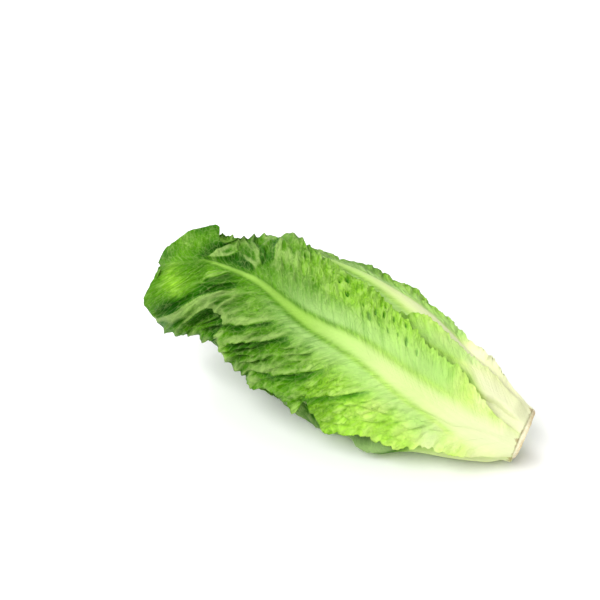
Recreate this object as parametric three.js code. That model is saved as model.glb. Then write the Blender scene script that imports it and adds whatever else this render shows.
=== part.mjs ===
// Romaine heart lying on its side: a cut stem with twenty leaves nested round it.
// Millimetres, +Z up. The butt points to +X and the leaf tips to -X.
import * as THREE from 'three';

// ---- driving dimensions ---------------------------------------------------
const CAP_START = 208;       // length of the head before the leaves close over the end
const CAP_BEND = 36;         // millimetres of leaf for each radian bent over the end
const AXIS_LIFT = 22.5;      // height of the stem centre over the floor at the butt
const AXIS_TILT = 9.5;       // degrees the axis climbs towards the leaf tips
const FACE_ANGLE = 41;       // degrees the front leaf is turned up from level
const TIP_LEAN = 6;          // how far the tip end leans off the straight axis
const BUTT_RADIUS = 16;      // cut end of the stem
const CUT_SLANT = 8;         // degrees the cut is off square
const CUT_AT = -3.5;         // where the cut lies along the head
const LAYER_GAP = 0.85;      // least air between two leaves
const BLADE = 0.85;          // thickness of a leaf blade
const RIB_BASE = 3.2;        // height of the midrib over the blade near the stem
const RIB_TIP = 0.9;         // the same near the tip
const RIB_WIDE_BASE = 8.5;   // half width of the midrib near the stem
const RIB_WIDE_TIP = 1.8;    // the same near the tip

const DEG = Math.PI / 180;

// outer form of the whole head: radius against length along the leaves
const HEAD = [[-8, 15], [0, 16], [9, 18.5], [27, 25], [45, 30.5], [63, 37], [84, 43],
  [105, 46], [122, 47], [145, 45.5], [165, 42.5], [185, 37.5], [205, 33.5], [222, 33.5],
  [240, 35], [262, 35]];
// radius that turns a leaf's widths in millimetres into angles round the head
const GIRTH = [[-8, 15], [0, 17], [15, 23], [30, 29], [50, 37], [84, 47], [120, 51],
  [145, 49.5], [165, 47], [185, 43], [205, 39], [222, 36], [262, 36]];
// outline of a leaf: share of its full half width against share of its length
const OUTLINE = [[0, 0.19], [0.08, 0.26], [0.2, 0.39], [0.32, 0.56], [0.45, 0.84],
  [0.58, 1], [0.7, 1], [0.84, 0.86], [0.94, 0.66], [1, 0.46]];

// midrib and margins of the front leaf: share of its length, millimetres along, turn
const FRONT_RIB = [[0, 0, -27], [0.06, 13, -21], [0.135, 32, -12], [0.21, 49, -4.5],
  [0.31, 72, 3], [0.43, 99, 9.5], [0.57, 133, 11], [0.65, 152, 15], [0.73, 170, 19],
  [0.8, 187, 21], [0.88, 207, 19], [0.94, 219, 11], [0.97, 230, 3], [1, 240, -6]];
const FRONT_UP = [[0, 1, 2], [0.06, 17, 13], [0.135, 36, 26], [0.21, 52, 29], [0.26, 63, 29],
  [0.31, 72, 33], [0.36, 83, 39], [0.4, 92, 42], [0.44, 100.5, 44], [0.5, 115, 49],
  [0.55, 126, 52], [0.6, 137, 56], [0.66, 150, 60], [0.72, 162, 62], [0.77, 173, 65],
  [0.82, 183, 67], [0.855, 190, 60], [0.875, 196, 52], [0.89, 200, 42], [0.905, 205, 41],
  [0.92, 210, 52], [0.945, 219, 54], [0.965, 231, 38], [0.985, 240, 19], [1, 242, -4]];
const FRONT_DOWN = [[0, 1, -56], [0.06, 15, -51], [0.12, 29, -46], [0.18, 42, -45],
  [0.25, 58, -50], [0.34, 80, -47], [0.385, 91, -51], [0.415, 97, -56], [0.44, 105, -48],
  [0.46, 110, -39], [0.475, 114, -34], [0.49, 117.5, -43], [0.53, 126, -41],
  [0.58, 138.5, -42], [0.64, 153.5, -49], [0.69, 163, -48], [0.74, 173, -42],
  [0.775, 179, -34], [0.8, 184, -41], [0.84, 193, -49], [0.88, 203, -54], [0.92, 215, -58],
  [0.95, 226, -54], [0.97, 232, -44], [0.985, 232, -30], [1, 233, -9]];
// upper margin of the leaf beside it, which shows between the front leaf and the next
const SECOND_UP = [[0, 1, 50], [0.06, 14, 53], [0.12, 27, 55], [0.2, 44, 57], [0.28, 60, 59],
  [0.35, 76, 59], [0.4, 86, 48], [0.47, 100, 43], [0.6, 130, 49], [0.8, 172, 56],
  [0.92, 192, 52], [1, 204, 42]];
// upper margin of the top leaf, which curls off the head along the top outline
const THIRD_UP = [[0, 1, 66], [0.06, 14, 67], [0.12, 28, 69], [0.18, 41, 74], [0.22, 50, 88],
  [0.26, 59, 98], [0.35, 79, 102], [0.45, 102, 101], [0.55, 124, 98], [0.62, 141, 96],
  [0.7, 158, 100], [0.85, 190, 100], [0.95, 208, 92], [1, 214, 82]];
// midrib of the low leaf, which comes out from under the front leaf near the butt
const FIFTH_RIB = [[0, 0, -88], [0.08, 14, -84], [0.15, 30, -76], [0.24, 50, -75],
  [0.4, 86, -86], [0.7, 152, -92], [1, 222, -84]];

// from, to: midrib angle at base and tip; up, down: half widths; base, end: where it
// starts and ends along the head; shell: share of the head radius; droop: how much
// lower it lies at the tip; belly: how far it bulges beside the butt; ruffle: height
// of its waves; flareUp, flareDown: how far the margins stand off; lobe: how far the
// tip's lower side stands off; air: extra air under it; ns, nt: columns along, across
const OUTER = [
  { name: 'leaf_01', from: -16, to: 17, up: 46, down: 50, base: 0, end: 230,
    shell: 1, ruffle: 3, flareUp: 2, flareDown: 6, lobe: 8, air: 0, ns: 38, nt: 10 },
  { name: 'leaf_02', from: 26, to: 26, up: 44, down: 50, base: 1, end: 214,
    shell: 0.95, ruffle: 1.4, flareUp: 1, flareDown: 0, lobe: 0, air: 0, ns: 28, nt: 8 },
  { name: 'leaf_03', from: 55, to: 73, up: 52, down: 50, base: 0, end: 226,
    shell: 1.05, droop: 6, ruffle: 2.6, flareUp: 4, flareDown: 0, lobe: 0, air: 0,
    ns: 28, nt: 8 },
  { name: 'leaf_04', from: -128, to: -132, up: 32, down: 54, base: 0, end: 222,
    shell: 0.86, ruffle: 1.4, flareUp: 1, flareDown: 0, lobe: 0, air: 1.3, ns: 28, nt: 8 },
  { name: 'leaf_05', from: -90, to: -76, up: 50, down: 46, base: 0, end: 222,
    shell: 0.88, belly: 4.5, ruffle: 1.6, flareUp: 0, flareDown: 0, lobe: 0, air: 0,
    ns: 28, nt: 8 },
  { name: 'leaf_06', from: 150, to: 162, up: 54, down: 54, base: 0, end: 228,
    shell: 0.88, droop: 5, ruffle: 2.4, flareUp: 1, flareDown: 1, lobe: 0, air: 0,
    ns: 28, nt: 8 },
  { name: 'leaf_07', from: -44, to: -28, up: 46, down: 48, base: 6, end: 210,
    shell: 0.74, ruffle: 1.3, flareUp: 0, flareDown: 0, lobe: 0, air: 0.3, ns: 24, nt: 8 },
  { name: 'leaf_08', from: 116, to: 126, up: 48, down: 48, base: 5, end: 214,
    shell: 0.74, ruffle: 1.3, flareUp: 0, flareDown: 0, lobe: 0, air: 0.3, ns: 24, nt: 8 },
];
const PLANS = {
  leaf_01: { rib: FRONT_RIB, up: FRONT_UP, down: FRONT_DOWN },
  leaf_02: { up: SECOND_UP },
  leaf_03: { up: THIRD_UP },
  leaf_05: { rib: FIFTH_RIB },
};
const FLOOR_LEAF = 'leaf_04';
const FLAT_DEPTH = 1.6;      // how deep the leaf on the floor is pressed flat
const INNER_COUNT = 12;
const TIP_ROUND = 0.1;       // share of its length over which a leaf's end is rounded
const GOLDEN_ANGLE = 137.5;

// ---- small helpers --------------------------------------------------------
const clamp = (v, lo, hi) => Math.min(hi, Math.max(lo, v));
const smooth = (v) => {
  const c = clamp(v, 0, 1);
  return c * c * (3 - 2 * c);
};
const jitter = (n) => {
  const v = Math.sin(n * 12.9898 + 4.1) * 43758.5453;
  return v - Math.floor(v);
};

// smooth curve through a list of [place, value] points
function curve(points, v) {
  const last = points.length - 1;
  if (v <= points[0][0]) return points[0][1];
  if (v >= points[last][0]) return points[last][1];
  let i = 0;
  while (v > points[i + 1][0]) i += 1;
  const slope = (k) => {
    const a = points[Math.max(0, k - 1)];
    const b = points[Math.min(last, k + 1)];
    return (b[1] - a[1]) / (b[0] - a[0]);
  };
  const [x0, y0] = points[i];
  const [x1, y1] = points[i + 1];
  const w = x1 - x0;
  const t = (v - x0) / w;
  const t2 = t * t;
  const t3 = t2 * t;
  return y0 * (2 * t3 - 3 * t2 + 1) + slope(i) * w * (t3 - 2 * t2 + t)
    + y1 * (3 * t2 - 2 * t3) + slope(i + 1) * w * (t3 - t2);
}

// ---- head coordinates -----------------------------------------------------
// A place is (along, turn, out): millimetres along the leaf from the butt, angle
// round the axis from the front leaf, and distance out. Past CAP_START the outward
// direction swings over the end, so leaf tips bend over it.

// past its middle the head leans away from the floor side, towards the top leaf
const lean = (x) => TIP_LEAN * smooth((x - 95) / 110);
const LEAN_TURN = (FACE_ANGLE + 90) * DEG;

function headPoint([along, turn, r]) {
  const bend = Math.max(0, along - CAP_START) / CAP_BEND;
  const x = Math.min(along, CAP_START) + r * Math.sin(bend);
  const rho = r * Math.cos(bend);
  const a = turn + FACE_ANGLE * DEG;
  const off = lean(x);
  const y = rho * Math.cos(a) + off * Math.cos(LEAN_TURN);
  const z = rho * Math.sin(a) + off * Math.sin(LEAN_TURN);
  return [x, y, z];
}

function headPlace([x, leanY, leanZ]) {
  const y = leanY - lean(x) * Math.cos(LEAN_TURN);
  const z = leanZ - lean(x) * Math.sin(LEAN_TURN);
  const rho = Math.hypot(y, z);
  const turn = Math.atan2(z, y) - FACE_ANGLE * DEG;
  let along = x;
  let r = rho;
  if (x > CAP_START) {
    along = CAP_START + CAP_BEND * Math.atan2(x - CAP_START, rho);
    r = Math.hypot(rho, x - CAP_START);
  }
  return [along, turn, r];
}

// from the head's own frame to the floor's frame
function stand([x, y, z]) {
  const c = Math.cos(AXIS_TILT * DEG);
  const s = Math.sin(AXIS_TILT * DEG);
  return [-x * c + z * s, -y, x * s + z * c + AXIS_LIFT];
}

// ---- the space already taken ----------------------------------------------
const ROWS = 142;
const COLS = 128;
const ROW_STEP = 2;
const ROW_FROM = -15;
const taken = Array.from({ length: ROWS }, () => new Float64Array(COLS));
const wrapCol = (c) => ((c % COLS) + COLS) % COLS;
const colOf = (turn) => turn / (2 * Math.PI) * COLS;
const rowOf = (along) => (along - ROW_FROM) / ROW_STEP;

function take(along, turn, out) {
  const i = clamp(Math.floor(rowOf(along)), 0, ROWS - 1);
  const j = wrapCol(Math.floor(colOf(turn)));
  taken[i][j] = Math.max(taken[i][j], out);
}

// each cell given the highest value within two cells of it, on top of the head's taper
const TAPER = Array.from({ length: ROWS }, (_, i) => curve(HEAD, ROW_FROM + ROW_STEP * i));

function spread() {
  const over = taken.map((row, i) => Array.from(row, (v) => v - TAPER[i]));
  const wide = over.map((row) => row.map((v, j) => {
    let top = v;
    for (let d = -2; d <= 2; d += 1) top = Math.max(top, row[wrapCol(j + d)]);
    return top;
  }));
  return wide.map((row, i) => row.map((v, j) => {
    let top = v;
    for (let d = -2; d <= 2; d += 1) top = Math.max(top, wide[clamp(i + d, 0, ROWS - 1)][j]);
    return top + TAPER[i];
  }));
}

// smooth sheet lying over those cells
function sheet(cells, along, turn) {
  const u = clamp(rowOf(along), 0, ROWS - 1.001);
  const v = colOf(turn);
  const i = Math.floor(u);
  const j = Math.floor(v);
  const weights = (f) => [(1 - f) ** 3 / 6, (3 * f ** 3 - 6 * f * f + 4) / 6,
    (-3 * f ** 3 + 3 * f * f + 3 * f + 1) / 6, f ** 3 / 6];
  const wu = weights(u - i);
  const wv = weights(v - j);
  let sum = 0;
  for (let a = 0; a < 4; a += 1) {
    const row = cells[clamp(i + a - 1, 0, ROWS - 1)];
    for (let b = 0; b < 4; b += 1) sum += wu[a] * wv[b] * row[wrapCol(j + b - 1)];
  }
  return sum;
}

// ---- meshes ---------------------------------------------------------------
function meshOf(name, points, faces, colour) {
  const geometry = new THREE.BufferGeometry();
  const flat = new Float32Array(points.length * 3);
  points.forEach((p, i) => flat.set(p, i * 3));
  geometry.setAttribute('position', new THREE.BufferAttribute(flat, 3));
  geometry.setIndex(faces.flat());
  geometry.computeVertexNormals();
  const material = new THREE.MeshStandardMaterial({ color: colour, roughness: 0.5 });
  const mesh = new THREE.Mesh(geometry, material);
  mesh.name = name;
  return mesh;
}

// the stem: a cut disc of a butt that tapers to a point between the leaves
const STEM = [[CUT_AT, BUTT_RADIUS], [-1.4, BUTT_RADIUS], [0.6, 12.8], [7, 11.2], [16, 9],
  [30, 7], [44, 5], [60, 2.6]];

function stemMesh() {
  const sides = 28;
  const stations = [CUT_AT, -1.4, 0.6, 4, 8, 13, 18, 24, 30, 37, 44, 52, 60];
  const points = [];
  stations.forEach((at, row) => {
    for (let k = 0; k < sides; k += 1) {
      const turn = k / sides * 2 * Math.PI;
      const r = curve(STEM, at);
      const slant = row === 0 ? -Math.tan(CUT_SLANT * DEG) * r * Math.cos(turn) : 0;
      const trim = row === 0 ? 0.94 : 1;
      const a = turn + FACE_ANGLE * DEG;
      points.push(stand([at + slant, trim * r * Math.cos(a), trim * r * Math.sin(a)]));
    }
  });
  const faces = [];
  const rows = stations.length;
  for (let i = 0; i < rows - 1; i += 1) {
    for (let k = 0; k < sides; k += 1) {
      const a = i * sides + k;
      const b = i * sides + (k + 1) % sides;
      faces.push([a, b, a + sides], [b, b + sides, a + sides]);
    }
  }
  points.push(stand([CUT_AT, 0, 0]));
  points.push(stand([61, 0, 0]));
  const low = points.length - 2;
  const tip = points.length - 1;
  const top = (rows - 1) * sides;
  for (let k = 0; k < sides; k += 1) {
    faces.push([low, (k + 1) % sides, k]);
    faces.push([tip, top + k, top + (k + 1) % sides]);
  }
  return meshOf('stem', points, faces, 0xf0eec0);
}

// ---- leaves ---------------------------------------------------------------
const shellRadius = (leaf, along) => {
  const share = leaf.shell + (1 - leaf.shell) * 0.1;
  const bulge = Math.max(0, share - 1) * (1 - smooth((along - 105) / 50));
  const sink = (leaf.droop ?? 0) * smooth((along - 165) / 40);
  return curve(HEAD, along) * (Math.min(share, 1) + bulge) - sink;
};

// a place on a margin or midrib at a share of the leaf's length: along and turn
function traced(table, s) {
  const along = curve(table.map(([share, at]) => [share, at]), s);
  const turn = curve(table.map(([share, , angle]) => [share, angle]), s);
  return [along, turn];
}

// where a leaf cell lies: along, turn, and its distance from the midrib
function leafPlace(leaf, s, t) {
  const plan = PLANS[leaf.name] ?? {};
  const up = t > 0;
  const side = up ? 1 : -1;
  const w = Math.abs(t);
  const length = leaf.end - leaf.base;
  let mid = leaf.from + (leaf.to - leaf.from) * smooth((leaf.base + length * s - 5) / 150);
  let along = leaf.base + length * s;
  if (plan.rib) [along, mid] = traced(plan.rib, s);
  const margin = up ? plan.up : plan.down;
  let turn = mid * DEG;
  if (margin) {
    const [edgeAlong, edgeTurn] = traced(margin, s);
    along += (edgeAlong - along) * w ** 1.5;
    turn += (edgeTurn - mid) * DEG * w;
  } else {
    along -= Math.min(24, length * TIP_ROUND) * smooth((s - 0.55) / 0.45) * w * w;
    const half = (up ? leaf.up : leaf.down) * curve(OUTLINE, s);
    turn += side * Math.min(half * w / curve(GIRTH, along), leaf.reach);
  }
  const bend = Math.max(0, along - CAP_START) / CAP_BEND;
  const girth = Math.max(12, curve(GIRTH, along) * Math.cos(bend));
  const across = (turn - mid * DEG) * girth;
  // the margin is cut into shallow teeth
  if (w > 0.99) {
    const bite = Math.sin(s * length / 4.6 + leaf.seed * 9 + (up ? 0 : 2));
    turn += side * 1.3 * bite * smooth(s / 0.1) / girth;
  }
  return { along, turn, across, length };
}

function thickness(leaf, s, along, across) {
  const wide = RIB_WIDE_BASE + (RIB_WIDE_TIP - RIB_WIDE_BASE) * smooth(s / 0.75);
  const stout = (leaf.inner ? 0.6 : 1) * (0.6 + 0.4 * smooth(along / 45));
  const high = (RIB_BASE + (RIB_TIP - RIB_BASE) * smooth(s / 0.8)) * stout;
  const start = 0.45 + 0.55 * smooth(s / 0.08);
  return BLADE + high * start * Math.exp(-((across / wide) ** 2));
}

// how far a leaf stands off what lies under it
function standOff(leaf, s, t, length) {
  const side = t > 0 ? 0 : 1.7;
  const beat = Math.sin(s * length / 4.9 + leaf.seed * 7 + side + t * 2)
    + 0.5 * Math.sin(s * length / 8.3 + leaf.seed * 3 + side * 2);
  const grow = Math.abs(t) ** 2.4 * smooth(s / 0.25);
  const flare = (t > 0 ? leaf.flareUp : leaf.flareDown) * Math.abs(t) ** 3;
  const part = smooth(s / 0.15) * (1 - smooth((s - 0.45) / 0.25));
  let out = leaf.ruffle * grow * (0.5 + 0.33 * beat) + flare * part;
  if (leaf.belly) {
    const beside = Math.exp(-(((t - 0.1) / 0.4) ** 2)) * smooth(s / 0.07);
    out += leaf.belly * beside * (1 - smooth((s - 0.26) / 0.16));
    const fold = Math.exp(-(((s - 0.45) / 0.16) ** 2)) * Math.exp(-(((t - 0.4) / 0.26) ** 2));
    out += leaf.belly * 1.3 * fold;
  }
  if (leaf.lobe) {
    out += leaf.lobe * smooth((s - 0.78) / 0.12) * smooth((-0.05 - t) / 0.7);
    const behind = smooth((s - 0.6) / 0.1) * (1 - smooth((s - 0.84) / 0.05));
    out += leaf.lobe * 0.15 * behind * smooth((t - 0.4) / 0.6);
    const below = smooth((s - 0.4) / 0.1) * (1 - smooth((s - 0.7) / 0.1));
    out += leaf.lobe * 0.5 * below * smooth((-t - 0.4) / 0.6);
  }
  return out;
}

function growLeaf(leaf) {
  const cells = spread();
  const { ns, nt } = leaf;
  const cols = nt + 1;
  const grid = [];
  for (let i = 0; i <= ns; i += 1) {
    for (let j = 0; j < cols; j += 1) {
      const s = i / ns;
      const even = (j / nt) * 2 - 1;
      const t = Math.sign(even) * Math.abs(even) ** 1.25;
      const at = leafPlace(leaf, s, t);
      const need = sheet(cells, at.along, at.turn) + LAYER_GAP + leaf.air;
      const out = Math.max(need, shellRadius(leaf, at.along)) + standOff(leaf, s, t, at.length);
      grid.push({ ...at, out, thick: thickness(leaf, s, at.along, at.across) });
    }
  }
  const triangles = [];
  for (let i = 0; i < ns; i += 1) {
    for (let j = 0; j < nt; j += 1) {
      const a = i * cols + j;
      triangles.push([a, a + 1, a + cols + 1], [a, a + cols + 1, a + cols]);
    }
  }
  const inner = () => grid.map((g) => headPoint([g.along, g.turn, g.out]));
  const outer = () => grid.map((g) => headPoint([g.along, g.turn, g.out + g.thick]));
  // flat facets between the corners must clear what lies under them too
  const PARTS = 5;
  for (let pass = 0; pass < 4; pass += 1) {
    const points = inner();
    const lift = new Float64Array(grid.length);
    triangles.forEach((tri) => {
      for (let u = 0; u <= PARTS; u += 1) {
        for (let v = 0; u + v <= PARTS; v += 1) {
          const w = [u / PARTS, v / PARTS, 1 - (u + v) / PARTS];
          const p = [0, 1, 2].map((k) => tri.reduce((q, n, m) => q + w[m] * points[n][k], 0));
          const [along, turn, out] = headPlace(p);
          const lack = sheet(cells, along, turn) + LAYER_GAP * 0.7 + leaf.air - out;
          if (lack > 0) tri.forEach((n) => { lift[n] = Math.max(lift[n], lack); });
        }
      }
    });
    grid.forEach((g, n) => { g.out += lift[n]; });
  }
  const high = outer();
  triangles.forEach((tri) => {
    for (let u = 0; u <= PARTS; u += 1) {
      for (let v = 0; u + v <= PARTS; v += 1) {
        const w = [u / PARTS, v / PARTS, 1 - (u + v) / PARTS];
        const p = [0, 1, 2].map((k) => tri.reduce((q, n, m) => q + w[m] * high[n][k], 0));
        take(...headPlace(p));
      }
    }
  });
  return { leaf, grid, triangles };
}

// the side the heart lies on is pressed flat, less and less towards its middle
function pressed(cover, along, turn) {
  const down = -Math.sin(turn + FACE_ANGLE * DEG);
  if (down <= 0.02) return 1;
  const height = along * Math.sin(AXIS_TILT * DEG) + AXIS_LIFT;
  const room = height / (down * Math.cos(AXIS_TILT * DEG)) / sheet(cover, along, turn);
  return (1 + room ** -14) ** (-1 / 14);
}

function leafMesh(cover, { leaf, grid, triangles }) {
  const { ns, nt } = leaf;
  const cols = nt + 1;
  const count = grid.length;
  const face = (g, out) => {
    const share = pressed(cover, g.along, g.turn);
    return headPoint([g.along, g.turn, out * share]);
  };
  const low = grid.map((g) => face(g, g.out));
  const high = grid.map((g) => face(g, g.out + g.thick));
  const points = [...low, ...high].map(stand);
  if (leaf.name === FLOOR_LEAF) {
    const flat = Math.min(...points.map((p) => p[2])) + FLAT_DEPTH;
    points.forEach((p, n) => {
      p[2] = Math.max(p[2], n < count ? flat + 0.65 : flat);
    });
  }
  const faces = [];
  triangles.forEach(([a, b, c]) => {
    faces.push([a, c, b]);
    faces.push([a + count, b + count, c + count]);
  });
  const wall = (a, b) => faces.push([a, b, a + count], [b, b + count, a + count]);
  for (let j = 0; j < nt; j += 1) {
    wall(j, j + 1);
    wall(ns * cols + j + 1, ns * cols + j);
  }
  for (let i = 0; i < ns; i += 1) {
    wall((i + 1) * cols, i * cols);
    wall(i * cols + nt, (i + 1) * cols + nt);
  }
  return meshOf(leaf.name, points, faces, leaf.colour);
}

// ---- the head -------------------------------------------------------------
function innerLeaves() {
  const list = [];
  for (let k = 0; k < INNER_COUNT; k += 1) {
    const depth = (k + 1) / INNER_COUNT;
    const number = k + 9;
    const mid = 200 + GOLDEN_ANGLE * k;
    list.push({
      name: `leaf_${String(number).padStart(2, '0')}`,
      from: mid,
      to: mid + 10,
      up: 48 - 26 * depth,
      down: 48 - 26 * depth,
      base: 9 + 3.4 * k,
      end: 188 - 9 * k,
      shell: 0.74 - 0.6 * depth,
      ruffle: 1.3 - 0.7 * depth,
      flareUp: 0,
      flareDown: 0,
      lobe: 0,
      air: 0,
      ns: 14,
      nt: 8,
      inner: true,
    });
  }
  return list;
}

const leaves = [...OUTER, ...innerLeaves()];
leaves.forEach((leaf, k) => {
  leaf.reach = k < OUTER.length ? 1.65 : 1.25;
  leaf.seed = jitter(k + 1);
  const depth = k / leaves.length;
  leaf.colour = new THREE.Color().setHSL(0.25 - 0.04 * depth, 0.6, 0.42 + 0.25 * depth);
});

for (let i = 0; i < ROWS; i += 1) {
  const along = ROW_FROM + i * ROW_STEP;
  const r = along > 62 ? 0.5 : curve(STEM, along) + 0.1;
  taken[i].fill(r);
}

const heart = new THREE.Group();
heart.name = 'romaine_heart';
heart.add(stemMesh());
const grown = [...leaves].reverse().map(growLeaf);
const cover = spread();
grown.forEach((sheetOfLeaf) => heart.add(leafMesh(cover, sheetOfLeaf)));

// rest the lowest point on the floor and centre the box over the origin
const box = new THREE.Box3().setFromObject(heart);
const middle = box.getCenter(new THREE.Vector3());
const shift = new THREE.Vector3(-middle.x, -middle.y, -box.min.z);
heart.children.forEach((mesh) => mesh.geometry.translate(shift.x, shift.y, shift.z));

export default heart;
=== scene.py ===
"""Romaine heart lying on its side: crinkled leaves with pale ribs closing round a cut stem."""

import math
from types import SimpleNamespace

import bmesh
import bpy
import numpy as np
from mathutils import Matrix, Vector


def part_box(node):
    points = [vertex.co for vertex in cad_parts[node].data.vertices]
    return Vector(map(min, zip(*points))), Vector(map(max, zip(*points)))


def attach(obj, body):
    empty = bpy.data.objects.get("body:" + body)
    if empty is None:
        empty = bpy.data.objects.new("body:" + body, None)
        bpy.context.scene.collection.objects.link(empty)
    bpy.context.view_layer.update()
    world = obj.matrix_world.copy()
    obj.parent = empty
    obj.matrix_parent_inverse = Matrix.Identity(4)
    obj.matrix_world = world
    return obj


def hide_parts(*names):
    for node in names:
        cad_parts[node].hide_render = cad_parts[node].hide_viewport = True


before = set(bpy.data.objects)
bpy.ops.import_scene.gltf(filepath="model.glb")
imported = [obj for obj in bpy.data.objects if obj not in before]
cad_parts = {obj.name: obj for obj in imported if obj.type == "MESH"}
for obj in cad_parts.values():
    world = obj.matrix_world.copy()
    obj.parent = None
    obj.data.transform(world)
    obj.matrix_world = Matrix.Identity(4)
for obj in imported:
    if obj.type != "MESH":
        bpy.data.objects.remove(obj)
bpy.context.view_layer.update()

# ---- driving dimensions in millimetres, the same head as the solids ---------
CAP_START = 208.0  # length of the head before the leaves close over the end
CAP_BEND = 36.0  # millimetres of leaf for each radian bent over the end
AXIS_LIFT = 22.5  # height of the stem centre over the floor at the butt
AXIS_TILT = math.radians(9.5)  # the axis climbs towards the leaf tips
FACE_ANGLE = math.radians(41)  # the front leaf is turned up from level
TIP_LEAN = 6.0  # how far the tip end leans off the straight axis
BUTT_RADIUS = 16.0  # of the stem at the cut
CUT_SLANT = math.radians(8)  # the knife went through the stem at a slant
CUT_AT = -3.5  # where the axis meets the cut face
RIM_END = -1.4  # where the bevelled rim of the cut ends
RIM_INSET = 0.06  # how far the rim draws in, as a share of the radius
STEM_SIDES = 28  # sides of the solid stem
STEM_LONG = 64.5  # from the cut to the growing tip inside the head
CORE_END = 62  # past this no stem is left inside the head
FACE_ROWS = 0.4  # share of the stem's rows that lie on its cut face

LEAF_GAP = 0.45  # between a leaf and the ones under it
BLADE = 0.55  # thickness of an outer leaf's blade
THINNEST = 0.2  # a blade where it grows out of the stem
FOOT_RADIUS = 12.9  # the leaves' feet round the cut
FOOT_FLESH = 2.3  # extra thickness of a foot
RIB_BASE_HIGH, RIB_TIP_HIGH = 3.4, 1.4  # how far a midrib stands out of the blade
SCAR_TOP, SCAR_PITCH = -3.1, 4.3  # where the brown scars at the feet end, and their spacing
CREASE_RADIUS = 40.0  # creases are drawn on a head of this radius
PLEATS_FROM = 176  # where the front leaf's rib has thinned out and its pleats fan out
PROUD_LIMIT = 1.5  # relief over this is flattened on the upper half of the front leaf
MM_PER_DEGREE = 0.7  # of turn, round the head at mid length

# sizes of the blade's relief, along the lateral veins and across them
BLISTER, SMALL_BLISTER, PIT_CELL = (6.6, 8.4), (2.8, 3.6), (6.4, 5.0)
RIDGE, RIPPLE, WANDER = (4.2, 12), (2.9, 7), (16, 12)
SWELL, FOLD, FOLD_BEND = (22, 34), (8.0, 22), (24, 13)
# teeth of a margin: pitch, height, and where their random draws start on either side
TEETH = [(6.9, 0.8, 31, (0, 11)), (3.1, 0.6, 17, (3, 14)), (1.9, 0.35, 23, (5, 17))]
LOBE, SMALL_LOBE = 15, 7.5  # length of the slow lobes between them

# radius by millimetres along: of the closed head, of the leaves where their widths are
# measured, and of the stem; then a leaf's half width by the share of its length
HEAD = [(-8, 15), (0, 16), (9, 18.5), (27, 25), (45, 30.5), (63, 37), (84, 43), (105, 46),
        (122, 47), (145, 45.5), (165, 42.5), (185, 37.5), (205, 33.5), (222, 33.5),
        (240, 35), (262, 35)]
GIRTH = [(-8, 15), (0, 17), (15, 23), (30, 29), (50, 37), (84, 47), (120, 51), (145, 49.5),
         (165, 47), (185, 43), (205, 39), (222, 36), (240, 36), (262, 36)]
STEM = [(CUT_AT, BUTT_RADIUS), (RIM_END, BUTT_RADIUS), (0.6, 12.8), (7, 11.2), (16, 9),
        (30, 7), (44, 5), (60, 2.6)]
OUTLINE = [(0, 0.19), (0.08, 0.26), (0.2, 0.39), (0.32, 0.56), (0.45, 0.84),
           (0.58, 1), (0.7, 1), (0.84, 0.86), (0.94, 0.66), (1, 0.46)]

# the front leaf's midrib and margins: share of its length, millimetres along, turn
FRONT_RIB = [(0, -2.6, -27), (0.06, 13, -21), (0.135, 32, -12), (0.21, 49, -4.5), (0.31, 72, 3),
             (0.43, 99, 9.5), (0.57, 133, 11), (0.65, 152, 15), (0.73, 170, 19),
             (0.8, 187, 21), (0.88, 207, 19), (0.94, 219, 11), (0.97, 230, 3), (1, 240, -6)]
FRONT_UP = [(0, -2.4, 2), (0.06, 17, 13), (0.135, 36, 26), (0.21, 52, 29), (0.26, 63, 29),
            (0.31, 72, 33), (0.36, 83, 39), (0.4, 92, 42), (0.44, 100.5, 44),
            (0.5, 115, 49), (0.55, 126, 53), (0.6, 137, 58), (0.66, 150, 64),
            (0.72, 162, 69), (0.77, 173, 74), (0.82, 183, 77), (0.855, 190, 69),
            (0.875, 196, 54), (0.89, 200, 42), (0.905, 205, 41), (0.92, 212, 62),
            (0.945, 220, 57), (0.965, 231, 38), (0.985, 240, 19), (1, 242, -4)]
FRONT_DOWN = [(0, -2.4, -56), (0.06, 15, -51), (0.12, 29, -46), (0.18, 42, -45),
              (0.25, 58, -50), (0.34, 80, -47), (0.385, 91, -51), (0.415, 97, -56),
              (0.44, 105, -48), (0.46, 110, -39), (0.475, 114, -34), (0.49, 117.5, -43),
              (0.53, 126, -41), (0.58, 138.5, -42), (0.64, 153.5, -49), (0.69, 163, -48),
              (0.74, 173, -42), (0.775, 179, -34), (0.8, 184, -41), (0.84, 193, -49),
              (0.88, 203, -54), (0.92, 215, -58), (0.95, 226, -54), (0.97, 231, -44),
              (0.985, 230.5, -27), (1, 231, -9)]

# half width of a midrib along its leaf
RIB_WIDE = [(0, 11.5), (0.1, 10.6), (0.22, 8.8), (0.35, 6.4), (0.5, 4.2), (0.65, 2.5),
            (0.77, 1.7), (0.9, 1.3), (1, 1.0)]

# upper margin of the leaf beside it, which shows between the front leaf and the next
SECOND_UP = [(0, -2.4, 45), (0.06, 14, 48), (0.12, 27, 51), (0.2, 44, 53), (0.28, 60, 55),
             (0.35, 76, 56), (0.4, 86, 46), (0.47, 100, 43), (0.6, 130, 49), (0.8, 172, 56),
             (0.92, 192, 52), (1, 204, 42)]
# upper margin of the top leaf, which curls off the head along the top outline
THIRD_UP = [(0, -2.4, 66), (0.06, 14, 67), (0.12, 28, 69), (0.18, 41, 74), (0.22, 50, 88),
            (0.26, 59, 98), (0.35, 79, 102), (0.45, 102, 101), (0.55, 124, 98), (0.62, 141, 96),
            (0.7, 158, 100), (0.85, 190, 100), (0.95, 208, 92), (1, 214, 82)]

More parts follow.
